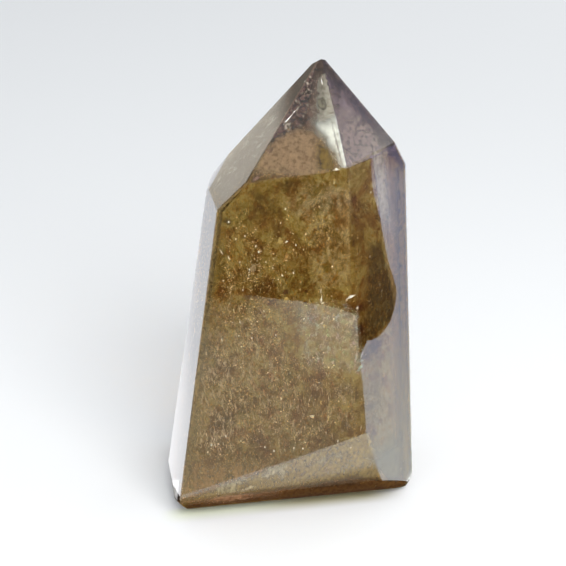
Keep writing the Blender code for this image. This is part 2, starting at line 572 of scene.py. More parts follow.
def veil_material(name, scale, shift, tints, depth=1.0, stretch=0.75, detail=5.0, rough=0.7, gold=0.0,
                  gold_hues=((0.62, 0.40, 0.16), (0.80, 0.62, 0.34), (0.86, 0.80, 0.58)), gold_level=0.60, gold_scale=2600.0):
    """Smoke that dims what lies behind it in patches, with gold dust between.
    tints are what three sorts of patch let through."""
    m, nt, co, out = bare_material(name)
    inside = body_value(nt)
    patches = noise_node(nt, co, scale, stretch, detail, rough, 0.4, shift)
    amount = math_node(nt, "MULTIPLY", math_node(nt, "SUBTRACT", patches, 0.465), 7.0 * depth, clamp=True)
    amount = math_node(nt, "MULTIPLY", amount, inside)
    sort = noise_node(nt, co, scale * 0.7, stretch, 3.0, 0.55, 0.6, shift + 5)
    tint = ramp_node(nt, sort, [(0.38, tints[0]), (0.5, tints[1]), (0.62, tints[2])])
    tr = nt.nodes.new("ShaderNodeBsdfTransparent")
    nt.links.new(mix_colour(nt, amount, (1, 1, 1), tint), tr.inputs["Color"])
    last = tr.outputs[0]
    if gold:
        dust = noise_node(nt, co, gold_scale, 0.55, 2.0, 0.6, 0.2, shift + 9)
        gate = noise_node(nt, co, scale * 1.1, 0.8, 5.0, 0.6, 0.5, shift + 13)
        fac = math_node(nt, "MULTIPLY", math_node(nt, "SUBTRACT", dust, gold_level), 9.0, clamp=True)
        gate = math_node(nt, "MULTIPLY", math_node(nt, "SUBTRACT", gate, 0.45), 6.0, clamp=True)
        fac = math_node(nt, "MULTIPLY", math_node(nt, "MULTIPLY", math_node(nt, "MULTIPLY", fac, gate), body_value(nt, "gilt")), gold)
        pr = nt.nodes.new("ShaderNodeBsdfPrincipled")
        hue = noise_node(nt, co, scale * 2.5, 1.0, 2.0, 0.5, 0.0, shift + 7)
        nt.links.new(ramp_node(nt, hue, list(zip((0.35, 0.5, 0.65), gold_hues))), pr.inputs["Base Color"])
        pr.inputs["Roughness"].default_value = 0.45
        mx = nt.nodes.new("ShaderNodeMixShader")
        nt.links.new(fac, mx.inputs[0])
        nt.links.new(last, mx.inputs[1])
        nt.links.new(pr.outputs[0], mx.inputs[2])
        last = mx.outputs[0]
    nt.links.new(last, out.inputs["Surface"])
    return m


AMBER = ((0.62, 0.54, 0.30), (0.62, 0.45, 0.24), (0.68, 0.46, 0.30))
DUST = ((0.70, 0.44, 0.14), (0.86, 0.62, 0.24), (0.90, 0.80, 0.50))
sheet("veil_front", 7.3, -1.34, 6.6, veil_material("veil_front", 760, 0.0, AMBER, detail=4.0, rough=0.72, gold=0.75, gold_hues=DUST, gold_scale=2300), wave=0.25, seed=1)
sheet("veil_second", 7.3, 2.0, 4.2, veil_material("veil_second", 430, 1.7, AMBER, gold=0.7, gold_hues=DUST), wave=0.9, seed=2)
sheet("veil_third", 3.0, -4.0, -2.0, veil_material("veil_third", 210, 3.1, AMBER, gold=0.3, gold_hues=DUST), wave=1.5, seed=3)


# Healed cracks, stains, frost, and painted light and shade: thin patches laid just under the facets. Each is
# given by where it shows: an ellipse (x, y, half width, half height, turn) or a convex
# outline with a softness for each of its edges.
SKIN = BVHTree.FromPolygons([v.co[:] for v in mesh.vertices], [tuple(f.vertices) for f in mesh.polygons])


def seen_all(px, py, facet, depth):
    """seen() for arrays; with no facet given, under whichever one shows there."""
    e = math.radians(25)
    fw, up, right = np.array([0, math.cos(e), -math.sin(e)]), np.array([0, math.sin(e), math.cos(e)]), np.array([1.0, 0, 0])
    d = fw + ((px - 283) / 1560)[:, None] * right - ((py - 283) / 1560)[:, None] * up
    d /= np.linalg.norm(d, axis=1)[:, None]
    if facet:
        n, reach = PLANES[facet]
        n = np.array(n)
        p = EYE + d * ((reach / MM - EYE @ n) / (d @ n))[:, None]
        n = np.broadcast_to(n, d.shape)
    else:
        p, n = np.full(d.shape, 999.0), np.tile((0.0, -1.0, 0.0), (len(d), 1))
        start = Vector(EYE) * MM + SHIFT
        for i, way in enumerate(d):
            hit, normal, _, _ = SKIN.ray_cast(start, Vector(way))
            if hit is not None:
                p[i], n[i] = np.array(hit - SHIFT) / MM, normal[:]
    c = -(d * n).sum(axis=1)
    t = d / IOR + (c / IOR - np.sqrt(1 - (1 - c * c) / IOR ** 2))[:, None] * n
    return p + t * np.broadcast_to(depth, c.shape)[:, None]


def patches(name, table, mat, step=1.6, shear=0.0):
    """shear slants the rows of the mesh so that they follow a slanted rim."""
    co, faces, body_of, tint_of = [], [], [], []
    total = 0
    for k, (shape, facet, depth, colour, amount) in enumerate(table):
        round_one = not isinstance(shape[0], tuple)
        if round_one:
            cx, cy, rx, ry, turn = shape
            reach = max(rx, ry) * 1.15
            x0, x1 = cx - reach, cx + reach
            y0, y1 = cy - shear * cx - reach * (1 + abs(shear)), cy - shear * cx + reach * (1 + abs(shear))
        else:
            x0, x1 = min(q[0] for q in shape), max(q[0] for q in shape)
            y0, y1 = min(q[1] - shear * q[0] for q in shape), max(q[1] - shear * q[0] for q in shape)
        fine = min(step, (x1 - x0) / 6, (y1 - y0) / 6)
        nx, ny = int((x1 - x0) / fine) + 2, int((y1 - y0) / fine) + 2
        gx, gy = np.meshgrid(np.linspace(x0, x1, nx), np.linspace(y0, y1, ny), indexing="ij")
        gx, gy = gx.ravel(), (gy + shear * gx).ravel()
        if round_one:
            t = math.radians(turn)
            a, c = gx - cx, gy - cy
            a, c = a * math.cos(t) + c * math.sin(t), -a * math.sin(t) + c * math.cos(t)
            where = np.stack([gx, gy, np.zeros(len(gx))], 1)
            ragged = 1 + 0.9 * (lattice_noise(where + 19.1 * k, max(rx, ry) * 0.55, 500 + k) - 0.5) \
                       + 0.5 * (lattice_noise(where + 7.3 * k, max(rx, ry) * 0.25, 600 + k) - 0.5)
            fill = np.clip((1 - np.sqrt((a / rx) ** 2 + (c / ry) ** 2) * ragged) / 0.7, 0, 1)
        else:
            fill = np.ones(len(gx))
            for (ax, ay, soft), (bx, by, _) in zip(shape, shape[1:] + shape[:1]):
                ex, ey = bx - ax, by - ay
                size = math.hypot(ex, ey)
                inward = (ex * (gy - ay) - ey * (gx - ax)) / size
                fill = np.minimum(fill, np.clip(inward / max(soft, 0.5) + (0.0 if soft > 0.5 else 1.0), 0, 1))
        p = seen_all(gx, gy, facet, depth + 0.08 * depth * (lattice_noise(np.stack([gx, gy, gx * 0], 1), 30.0, 700 + k) - 0.5))
        under = depth_inside(p)
        fill = fill * np.clip((under - 0.04) / 0.06, 0, 1)
        fill = fill * fill * (3 - 2 * fill)
        grid = np.arange(nx * ny).reshape(nx, ny)
        quads = np.stack([grid[:-1, :-1], grid[1:, :-1], grid[1:, 1:], grid[:-1, 1:]], -1).reshape(-1, 4)
        quads = quads[(fill[quads].max(axis=1) > 0) & (under[quads].min(axis=1) > 0.035)]
        if not len(quads):
            continue
        used, back = np.unique(quads, return_inverse=True)
        co.append(p[used]); body_of.append(fill[used] * amount)
        tint_of.append(np.tile((*colour, 1.0), (len(used), 1)))
        faces.append(back.reshape(-1, 4) + total)
        total += len(used)
    co, faces = np.concatenate(co) * MM + np.array(SHIFT), np.concatenate(faces)
    me = bpy.data.meshes.new(name)
    me.from_pydata(co.tolist(), [], faces.tolist())
    me.attributes.new("body", "FLOAT", "POINT").data.foreach_set("value", np.concatenate(body_of).astype(np.float32))
    me.attributes.new("tint", "FLOAT_COLOR", "POINT").data.foreach_set("color", np.concatenate(tint_of).astype(np.float32).ravel())
    for f in me.polygons:
        f.use_smooth = True
    me.materials.append(mat)
    o = bpy.data.objects.new(name, me)
    bpy.context.scene.collection.objects.link(o)
    o.visible_shadow = False
    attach(o, "root")
    return o


def tint_value(nt):
    at = nt.nodes.new("ShaderNodeAttribute")
    at.attribute_name = "tint"
    return at.outputs["Color"]


def stain_material(name, scale, shift):
    """Lets light through, tinted, more in some places than in others."""
    m, nt, co, out = bare_material(name)
    mottle = noise_node(nt, co, scale, 0.7, 5.0, 0.7, 0.4, shift)
    amount = math_node(nt, "MULTIPLY", math_node(nt, "SUBTRACT", mottle, 0.32), 4.2, clamp=True)
    amount = math_node(nt, "MULTIPLY", amount, body_value(nt))
    tr = nt.nodes.new("ShaderNodeBsdfTransparent")
    nt.links.new(mix_colour(nt, amount, (1, 1, 1), tint_value(nt)), tr.inputs["Color"])
    nt.links.new(tr.outputs[0], out.inputs["Surface"])
    return m


def frost_material(name, scale, shift, patchy=3.0, stretch=0.6, slant=0.0, painted_glow=0.0, smooth=0.0):
    """Catches light. It is solid where the patch is, and breaks up towards its rim."""
    m, nt, co, out = bare_material(name)
    if slant:
        ro = nt.nodes.new("ShaderNodeMapping")
        ro.inputs["Rotation"].default_value = (0, math.radians(slant), 0)
        nt.links.new(co, ro.inputs["Vector"])
        co = ro.outputs[0]
    mottle = noise_node(nt, co, scale, stretch, 5.0, 0.68, 0.4, shift)
    body = body_value(nt)
    if smooth:
        rough = math_node(nt, "ADD", math_node(nt, "MULTIPLY", math_node(nt, "SUBTRACT", mottle, 0.5), patchy), 1.0)
        amount = math_node(nt, "MULTIPLY", math_node(nt, "POWER", body, smooth), rough, clamp=True)
    else:
        rough = math_node(nt, "MULTIPLY", math_node(nt, "SUBTRACT", mottle, 0.5), patchy)
        amount = math_node(nt, "SUBTRACT", math_node(nt, "MULTIPLY", body, 1.6), 0.6)
        amount = math_node(nt, "ADD", amount, rough, clamp=True)
        amount = math_node(nt, "MULTIPLY", amount, math_node(nt, "MULTIPLY", body, 4.0, clamp=True))
    shade = noise_node(nt, co, scale * 1.7, stretch * 1.3, 4.0, 0.6, 0.2, shift + 4)
    tint = tint_value(nt)
    lit = nt.nodes.new("ShaderNodeMix")
    lit.data_type = "RGBA"
    lit.blend_type = "MULTIPLY"
    lit.inputs[0].default_value = 1.0
    nt.links.new(tint, lit.inputs[6])
    nt.links.new(ramp_node(nt, shade, [(0.38, (0.58, 0.56, 0.52)), (0.5, (0.86, 0.86, 0.86)), (0.62, (1.0, 1.0, 1.0))]), lit.inputs[7])
    pr = nt.nodes.new("ShaderNodeBsdfPrincipled")
    nt.links.new(lit.outputs[2], pr.inputs["Base Color"])
    pr.inputs["Roughness"].default_value = 0.5
    pr.inputs["Specular IOR Level"].default_value = 0.0
    # painted light: the film glows in its own colour, so that it shows where little light reaches it
    if painted_glow:
        nt.links.new(lit.outputs[2], pr.inputs["Emission Color"])
        pr.inputs["Emission Strength"].default_value = painted_glow
    tr = nt.nodes.new("ShaderNodeBsdfTransparent")
    mx = nt.nodes.new("ShaderNodeMixShader")
    nt.links.new(amount, mx.inputs[0])
    nt.links.new(tr.outputs[0], mx.inputs[1])
    nt.links.new(pr.outputs[0], mx.inputs[2])
    nt.links.new(mx.outputs[0], out.inputs["Surface"])
    return m


STAINS = [
    # shape, facet, depth in mm, what it lets through, amount
    ((257, 196, 10, 6, 35), "front", 2.0, (0.46, 0.40, 0.28), 0.8),
    ((269, 203, 7, 9, 20), "front", 2.2, (0.46, 0.40, 0.28), 0.75),
    ((286, 184, 11, 6, -10), "front", 1.6, (0.38, 0.33, 0.22), 0.9),
    ((277, 236, 6, 18, 4), "front", 1.8, (0.50, 0.38, 0.26), 0.8),
    ((262, 287, 11, 13, -10), "front", 2.2, (0.42, 0.33, 0.24), 0.9),
    ((227, 222, 6, 6, 0), "front", 1.5, (0.36, 0.32, 0.30), 0.9),
    ((218, 262, 12, 44, 8), "front", 2.6, (0.60, 0.58, 0.42), 0.8),
    ((246, 214, 16, 20, 0), "front", 3.4, (0.62, 0.60, 0.40), 0.8),
    ((300, 262, 24, 15, -20), "front", 4.0, (0.62, 0.48, 0.34), 0.8),
    ((322, 202, 26, 15, 0), "front", 3.0, (0.80, 0.90, 0.52), 0.8),
    ((342, 250, 12, 30, 0), "front", 3.6, (0.76, 0.66, 0.46), 0.7),
    ((349, 390, 17, 13, 0), "front", 1.8, (0.52, 0.42, 0.32), 0.85),
    ((260, 434, 8, 13, 15), "front", 1.4, (0.58, 0.44, 0.46), 0.9),
    ((300, 424, 22, 14, -8), "front", 2.6, (0.66, 0.56, 0.44), 0.7),
    ((224, 408, 20, 26, 0), "front", 3.0, (0.70, 0.62, 0.46), 0.7),
    ((286, 292, 5, 4, 0), "front", 1.0, (0.36, 0.22, 0.34), 1.0),
    ((377, 300, 22, 40, 10), "right", 3.0, (0.66, 0.52, 0.34), 0.9),
    ((366, 334, 18, 28, 0), "right", 1.6, (0.40, 0.28, 0.17), 1.0),
    ([(351, 166, 1.5), (373, 156, 0.5), (384, 240, 8), (398, 300, 10), (362, 346, 4), (352, 300, 2)], "right", 2.4, (0.80, 0.72, 0.62), 0.9),
    ((362, 240, 10, 44, -4), "right", 2.2, (0.72, 0.60, 0.42), 0.85),
    ((378, 214, 4, 7, -10), "right", 1.0, (0.40, 0.30, 0.22), 0.9),
    ((303, 88, 11, 30, 36), "front_tip", 1.0, (0.62, 0.36, 0.30), 0.9),
    ((293, 116, 16, 8, -36), "front_tip", 0.9, (0.60, 0.34, 0.34), 0.9),
    ((318, 72, 12, 12, 0), "front_tip", 0.7, (0.50, 0.42, 0.36), 0.9),
    ((324, 156, 9, 14, -12), "front_tip", 1.0, (0.56, 0.56, 0.30), 0.95),
    ((345, 100, 12, 30, -34), "right_tip", 1.0, (0.60, 0.50, 0.66), 0.9),
    ((370, 120, 7, 40, -38), None, 0.7, (0.56, 0.48, 0.62), 0.9),
    ((393, 154, 8, 9, -20), None, 0.6, (0.34, 0.26, 0.44), 1.0),
    ((401, 190, 7, 44, -2), None, 0.8, (0.62, 0.52, 0.68), 0.95),
    ((405, 300, 5, 100, -1), None, 0.8, (0.74, 0.68, 0.80), 0.9),
]
patches("stains", STAINS, stain_material("stain", 800, 0.4))

FROSTS_AND_PAINTED_LIGHT = [
    ((287, 256, 6, 7, 10), "front", 1.0, (0.74, 0.44, 0.17), 0.85),
    ((253, 268, 6, 6, 0), "front", 0.9, (0.66, 0.48, 0.28), 0.8),
    ((280, 241, 5, 5, 30), "front", 0.9, (0.84, 0.62, 0.24), 0.9),
    ((287, 299, 5, 4, 0), "front", 0.8, (0.92, 0.66, 0.24), 0.9),
    ((316, 227, 10, 3, -12), "front", 1.1, (0.80, 0.62, 0.30), 0.75),
    ((303, 117, 13, 6, 15), "front_tip", 0.28, (0.14, 0.07, 0.045), 1.0),
    ((283, 129, 13, 5, -46), "front_tip", 0.27, (0.26, 0.14, 0.13), 0.75),
    ((322, 103, 8, 10, 0), "front_tip", 0.33, (0.28, 0.26, 0.20), 0.85),
    ((257, 177, 12, 5, -36), "front_tip", 0.5, (0.36, 0.22, 0.17), 0.7),
    ((270, 150, 6, 4, 0), "front_tip", 0.35, (0.40, 0.26, 0.17), 0.8),
    # painted light: pale films on the ground bevel low on the front stand in for the lit band there, the thin bright
    # one for its sparkle
    ((228, 487, 36, 8, -22), None, 0.3, (0.60, 0.52, 0.30), 0.75),
    ((272, 473, 26, 8, -20), None, 0.3, (0.60, 0.52, 0.32), 0.7),
    ((330, 458, 30, 8, -20), None, 0.3, (0.54, 0.46, 0.26), 0.62),
    ((246, 489, 16, 3, -16), None, 0.26, (0.78, 0.68, 0.44), 0.8),
]
patches("frost_and_painted_light", FROSTS_AND_PAINTED_LIGHT, frost_material("frost_and_painted_light", 1100, 0.9, patchy=3.0))
# mostly painted light and shade as smooth opaque films: the tip from brown-red at the left to grey-green at the right
# and tan below, the grey-lilac facets either side of it, the pale right side and the dark strips along the right
# outline
patches("tip_and_sides_painted_light", [
    ([(320, 56, 0.5), (345, 160, 34), (258, 160, 0.5)], "front_tip", 0.62, (0.18, 0.095, 0.065), 1.0),
    ([(321, 58, 0.5), (345, 158, 30), (300, 150, 32), (303, 74, 26)], "front_tip", 0.52, (0.56, 0.53, 0.45), 0.9),
    ([(288, 118, 14), (314, 124, 12), (337, 146, 10), (335, 184, 12), (250, 178, 0.5)], "front_tip", 0.44, (0.45, 0.31, 0.18), 0.92),
    ([(311, 136, 10), (329, 143, 4), (337, 171, 4), (313, 173, 12)], "front_tip", 0.37, (0.30, 0.195, 0.04), 0.9),
    ((318, 62, 19, 19, 0), "front_tip", 0.30, (0.075, 0.045, 0.03), 1.0),
    ((304, 96, 8, 22, 38), "front_tip", 0.34, (0.15, 0.07, 0.05), 0.8),
    ([(319, 50, 0.5), (406, 146, 0.5), (346, 167, 0.5)], "right_tip", 0.62, (0.25, 0.20, 0.26), 0.70),
    ([(321, 57, 0.5), (345, 84, 8), (338, 132, 16), (328, 92, 0.5)], "right_tip", 0.5, (0.15, 0.12, 0.11), 0.9),
    ([(319, 48, 0.5), (402, 136, 0.5), (412, 164, 0.5), (396, 172, 8), (364, 129, 13), (315, 67, 8)], None, 0.34, (0.10, 0.07, 0.05), 0.9),
    ((362, 140, 52, 34, -20), "right_tip", 0.42, (0.56, 0.47, 0.41), 0.46),
    ((393, 152, 7, 12, -22), None, 0.26, (0.13, 0.09, 0.13), 0.5),
    ([(376, 150, 8), (399, 150, 1), (405, 163, 2.5), (411, 440, 3), (410, 466, 10), (388, 462, 13)], None, 0.45, (0.33, 0.21, 0.10), 0.85),
    ([(370, 148, 5), (391, 147, 17), (401, 246, 50), (383, 246, 3)], "right", 0.3, (0.56, 0.50, 0.40), 0.88),
    ([(388, 162, 12), (405, 162, 2.5), (411.5, 484, 3), (393, 490, 14)], None, 0.33, (0.27, 0.18, 0.05), 0.85),
    ([(284, 112, 12), (285, 124, 2), (224, 203, 2), (208, 182, 0.5), (236, 144, 0.5), (262, 116, 0.5)], "left_tip", 0.5, (0.18, 0.16, 0.125), 0.6),
    ((217, 190, 26, 20, -52), "left_tip", 0.42, (0.06, 0.05, 0.035), 0.42),
    ([(296, 186, 16), (349.5, 172, 1.5), (351.5, 292, 12), (306, 294, 18)], "front", 1.2, (0.62, 0.47, 0.24), 0.42),
    ((322, 198, 36, 26, -8), "front", 1.12, (0.62, 0.50, 0.32), 0.34)],
        frost_material("painted_light_film", 900, 3.3, patchy=0.7, smooth=1.0))
# a grey haze under the rim of the narrow left face
patches("left_haze", [
    ([(192, 250, 22), (204, 250, 9), (187, 400, 16), (172, 400, 0.5)], "left", 0.3, (0.10, 0.10, 0.10), 0.9),
    ([(176, 384, 14), (189, 384, 10), (177, 482, 8), (161, 482, 0.5)], "left", 0.34, (0.22, 0.22, 0.22), 0.5)],
        frost_material("left_haze", 900, 4.7, patchy=0.3, smooth=1.0), step=0.6)
# painted light and shade as grainy films: along the left arris, low at the left, over the low facet where the lit band
# shows, and low on the right face
patches("low_band_painted_light", [
    ([(217, 209, 0.5), (226, 203, 9), (196, 470, 5), (182, 496, 0.5)], "front", 0.3, (0.25, 0.175, 0.075), 0.85),
    ([(184, 452, 20), (284, 452, 4), (258, 482, 6), (180, 506, 0.5)], None, 0.46, (0.37, 0.23, 0.10), 0.72),
    ([(178, 503, 2), (306, 454, 2), (368, 431, 3), (379, 452, 3), (383, 482, 4), (190, 506, 4)], None, 0.38, (0.42, 0.31, 0.11), 0.70),
    ([(364, 236, 16), (381, 236, 3), (393, 288, 2.5), (395.5, 312, 2.5), (385, 329, 4), (362, 346, 12)], "right", 0.38, (0.10, 0.055, 0.012), 0.75)],
        frost_material("low_band_painted_light", 1500, 2.7, patchy=3.4, stretch=0.55, smooth=1.0), shear=-0.105)
# painted shade: the dark turn of the foot as brown films that glow a little; painted light: the pale left corner as a
# glowing pale film
patches("foot_painted_shade", [
    ([(172, 501, 7), (245, 490, 8), (345, 473, 8), (408, 476, 3), (406, 490, 0.5), (178, 514, 0.5)], None, 0.3, (0.14, 0.065, 0.020), 1.0),
    ((232, 498, 48, 5, -6), None, 0.24, (0.42, 0.24, 0.13), 0.75),
    ((262, 495, 22, 4, -8), None, 0.24, (0.34, 0.18, 0.09), 0.6),
    ((332, 484, 38, 5, -7), None, 0.24, (0.10, 0.05, 0.02), 0.5),
    ([(362, 452, 20), (392, 430, 22), (413, 430, 0.5), (412, 482, 0.5), (402, 488, 2), (384, 482, 6)], None, 0.35, (0.18, 0.15, 0.09), 0.9)],
        frost_material("foot_painted_shade_film", 900, 1.3, patchy=1.2, smooth=1.0, painted_glow=0.25), step=1.2, shear=-0.105)
patches("pale_corner_painted_light", [
    ([(160, 477, 7), (180, 477, 1.5), (177.5, 506, 2), (162, 507, 0.5)], None, 0.2, (0.69, 0.70, 0.72), 0.95)],
        frost_material("pale_corner_painted_light", 900, 1.9, patchy=0.3, smooth=1.0, painted_glow=0.6), step=0.4)
# painted reflection: a bright glowing film under the front tip facet, sharp along the arris
patches("tip_painted_reflection", [
    ([(304, 116, 26), (333, 104, 0.5), (346.5, 168, 2), (334, 169, 7), (318, 140, 14)], "front_tip", 0.27, (0.80, 0.82, 0.77), 1.0)],
        frost_material("tip_painted_reflection", 420, 2.2, painted_glow=0.17, smooth=1.3, patchy=0.6), step=1.0)
# brushed growth lines in the lower left
patches("growth_lines", [
    ([(204, 296, 4), (262, 300, 16), (300, 330, 22), (300, 440, 18), (184, 482, 8)], "front", 1.1, (0.60, 0.46, 0.30), 0.50),
    ([(262, 372, 16), (358, 368, 8), (362, 430, 8), (270, 462, 14)], "front", 1.4, (0.58, 0.44, 0.30), 0.45),
    ([(212, 226, 8), (262, 230, 14), (268, 300, 12), (206, 296, 8)], "front", 1.3, (0.62, 0.44, 0.18), 0.40)],
        frost_material("growth_line", 2100, 6.3, patchy=4.5, stretch=0.30, slant=7))


HEALED = [(0.36, (0.36, 0.60, 0.34)), (0.43, (0.66, 0.66, 0.40)), (0.49, (0.72, 0.50, 0.50)),
          (0.55, (0.62, 0.60, 0.44)), (0.61, (0.40, 0.64, 0.60)), (0.68, (0.58, 0.46, 0.62))]
TIP_SMOKE = [(0.41, (0.02, 0.01, 0.008)), (0.46, (0.21, 0.085, 0.07)), (0.50, (0.05, 0.035, 0.012)),
             (0.53, (0.23, 0.10, 0.085)), (0.57, (0.13, 0.12, 0.06)), (0.64, (0.56, 0.46, 0.38))]
LEFT_SMOKE = [(0.41, (0.06, 0.045, 0.045)), (0.47, (0.25, 0.19, 0.18)), (0.53, (0.20, 0.21, 0.17)),
              (0.62, (0.58, 0.57, 0.52))]


def rainbow_material(name, scale, shift, stops=HEALED, gain=4.0):
    """Small patches of many colours: a healed crack, or mottled smoke."""
    m, nt, co, out = bare_material(name)
    mottle = noise_node(nt, co, scale * 2.2, 0.6, 5.0, 0.65, 0.4, shift)
    amount = math_node(nt, "MULTIPLY", math_node(nt, "SUBTRACT", mottle, 0.40), gain, clamp=True)
    amount = math_node(nt, "MULTIPLY", amount, body_value(nt))
    hue = noise_node(nt, co, scale, 0.8, 2.5, 0.6, 0.8, shift + 3)
    colour = ramp_node(nt, hue, stops)
    pr = nt.nodes.new("ShaderNodeBsdfPrincipled")
    nt.links.new(colour, pr.inputs["Base Color"])
    pr.inputs["Roughness"].default_value = 0.5
    tr = nt.nodes.new("ShaderNodeBsdfTransparent")
    mx = nt.nodes.new("ShaderNodeMixShader")
    nt.links.new(amount, mx.inputs[0])
    nt.links.new(tr.outputs[0], mx.inputs[1])
    nt.links.new(pr.outputs[0], mx.inputs[2])
    nt.links.new(mx.outputs[0], out.inputs["Surface"])
    return m


patches("rainbow", [
    ([(288, 296, 8), (340, 298, 4), (359, 310, 3), (362, 348, 8), (350, 376, 16), (298, 376, 16)], "front", 0.75, (1, 1, 1), 0.45),
    ([(346, 344, 6), (363, 344, 1), (364, 376, 6), (346, 376, 8)], "front", 0.65, (1, 1, 1), 0.6)],
        rainbow_material("rainbow", 620, 5.1))
patches("tip_smoke", [
    ([(318, 62, 6), (318, 88, 10), (308, 128, 10), (262, 152, 6), (258, 146, 2)], "front_tip", 0.245, (1, 1, 1), 1.0)],
        rainbow_material("tip_smoke", 1100, 8.3, TIP_SMOKE, gain=9.0), step=1.2)
patches("left_smoke", [
    ([(284, 112, 12), (285, 124, 4), (224, 203, 3), (208, 182, 0.5), (236, 144, 0.5), (262, 116, 0.5)], "left_tip", 0.34, (1, 1, 1), 0.5)],
        rainbow_material("left_smoke", 700, 6.1, LEFT_SMOKE, gain=6.0), step=1.2)


def flecks(name, table, mat, depth=0.9, facet="front"):
    """Single bright or dark crystals: (x, y, length, width, lean) as they show, in
    hundredths of the view's width in mm; lean runs from upright towards +X."""
    centres, turns, sizes = [], [], []
    for k, row in enumerate(table):
        x, y, length, width, lean = row[:5]
        f = row[5] if len(row) > 5 else facet
        centres.append(seen(x, y, f, depth * (0.7 + 0.6 * ((k * 0.618) % 1))))
        a = math.radians(lean)
        up = np.array([math.sin(a), math.cos(a) * math.sin(math.radians(25)) * 0.5, math.cos(a)])
        up /= np.linalg.norm(up)
        side = np.cross(up, (0, 1, 0)); side /= np.linalg.norm(side)
        turns.append(np.stack([side, np.cross(up, side), up], 1))
        sizes.append((width * 0.0835, 0.04, length * 0.0835))
    return many(name, *SPINDLE, np.array(centres), np.array(turns), np.array(sizes), mat)


# real white flecks and scratches with a painted glow; the bright points by the apex and the chips at the corner of the
# front tip facet (last row) are painted highlights
FLECKS_AND_PAINTED_GLINTS = [
    (229, 222, 3, 2.2, 0), (221.5, 252, 7, 1.2, -30), (229, 258, 6, 1.1, -25), (259, 252, 3, 2.4, 0), (256, 246, 3, 1.6, 20),
    (236, 239, 2.6, 1.6, 0), (245, 236, 2.6, 1.4, 0), (285.6, 209, 2.6, 2.2, 0), (280.7, 223, 2.2, 1.6, 0), (334.3, 183, 2.6, 2.0, 30),
    (286.6, 242, 4, 2.6, 50), (282.3, 275, 4, 2.6, -20), (293.6, 273, 3, 2.2, 0), (249.6, 269.6, 2.6, 1.6, 0), (332.3, 266.5, 2.4, 1.6, 0),
    (321.5, 299, 10, 1.8, 4), (323, 303, 4, 2.0, 70), (321, 291, 8, 0.9, 0), (351, 297, 10, 4.5, 65), (347, 300, 5, 3, 30),
    (334, 319, 3, 2, 0), (322, 323, 6, 1.6, 65), (304, 319, 3, 2, 20), (357, 308, 4, 2, 0), (296, 245, 2.6, 1.6, 0), (306, 234, 2.6, 2, 0),
    (240, 262, 2.2, 1.4, 10), (266, 262, 2.4, 1.4, -20), (243, 290, 2.6, 1.4, 0), (231, 279, 2.4, 1.2, 10), (273, 268, 2.2, 1.4, 0),
    (264, 311, 3, 1.2, -20), (240, 322, 4, 1.2, -10), (252, 338, 3, 1.2, 0), (222, 340, 5, 1.1, -8), (276, 335, 3, 1.2, 0),
    (211.5, 445, 3, 2.2, 0), (226, 436, 4, 1.2, -8), (265, 447, 3, 2.0, 0), (274, 451, 3, 2.4, 0), (294, 448, 2.6, 2.4, 0),
    (303, 448.5, 2.6, 2.2, 0), (241, 441, 3, 1.6, 0), (338, 441, 4, 1.4, 10), (351, 447, 4, 1.4, 0), (208, 452, 3, 1.6, 0),
    (371, 192, 2.6, 1.6, 0, "right"), (370, 256.6, 3, 1.8, 0, "right"), (380, 285, 4, 1.6, 0, "right"), (382, 291, 3, 2, 20, "right"),
    (402, 202, 3.4, 2, 0, "right"), (399, 280, 3, 1.4, 0, "right"),
    (321.6, 80.5, 7, 1.5, -10, "front_tip"), (316.7, 88, 3, 2.4, 0, "front_tip"), (306.4, 81.5, 3, 2, 0, "front_tip"),
    (302.5, 116.5, 3, 1.6, 0, "front_tip"), (311, 125.7, 3, 1.5, -20, "front_tip"), (307, 119, 3, 1.5, 0, "front_tip"),
    (304, 98, 2.4, 1.6, 0, "front_tip"), (300, 105, 2.4, 1.4, 0, "front_tip"), (325, 84, 4, 1.2, -25, "front_tip"),
    (330, 84, 4, 1.0, -30, "right_tip"), (357.6, 119.6, 7, 1.6, -22, "right_tip"), (360, 125, 5, 1.2, -22, "right_tip"),
    (366, 127, 4, 1.0, -20, "right_tip"), (372.4, 140, 3, 1.8, 0, "right_tip"), (349, 112, 3, 1.0, -20, "right_tip"),
    (336.2, 168.6, 8, 2.6, 84, "front_tip"), (344.5, 163, 3, 2.0, 20, "right_tip"), (347.5, 165, 3, 1.6, -30, "right_tip"),
]
flecks("flecks_and_painted_glints", FLECKS_AND_PAINTED_GLINTS, grain_material("fleck_with_painted_glow", [(0.35, (0.92, 0.84, 0.68)), (0.6, (1.0, 0.98, 0.92))], 0.25, painted_glow=0.55))
# painted highlights: glowing white streaks for the light caught on the arris between the left and front tip facets and
# near the apex
flecks("painted_arris_glints", [(286.4, 121.2, 20, 1.7, 41), (322, 82, 8, 1.6, -12), (294, 112, 5, 1.2, 40)],
       grain_material("painted_glint", [(0.35, (0.95, 0.92, 0.86)), (0.6, (1.0, 1.0, 0.98))], 0.25, painted_glow=0.6), depth=0.24, facet="front_tip")
# needles low in the front: real flecks with a faint painted glow
NEEDLES = []
for _ in range(150):
    x, y = 192 + 172 * r.rand(), 372 + 84 * r.rand()
    if y > 497 - 0.345 * (x - 182) - 6:
        continue
    NEEDLES.append((x, y, 3 + 9 * r.rand() ** 2, 0.8 + 0.7 * r.rand(), -14 + 12 * (x - 190) / 170 + 5 * r.normal()))
flecks("needles", NEEDLES, grain_material("needle", [(0.35, (0.60, 0.44, 0.30)), (0.6, (0.86, 0.74, 0.58))], 0.35, painted_glow=0.12), depth=1.6)

# ------------------------------------------------------------------ stage
def plane_object(name, pts, mat):
    me = bpy.data.meshes.new(name)
    me.from_pydata([tuple(p) for p in pts], [], [tuple(range(len(pts)))])
    me.materials.append(mat)
    o = bpy.data.objects.new(name, me)
    bpy.context.scene.collection.objects.link(o)
    return o


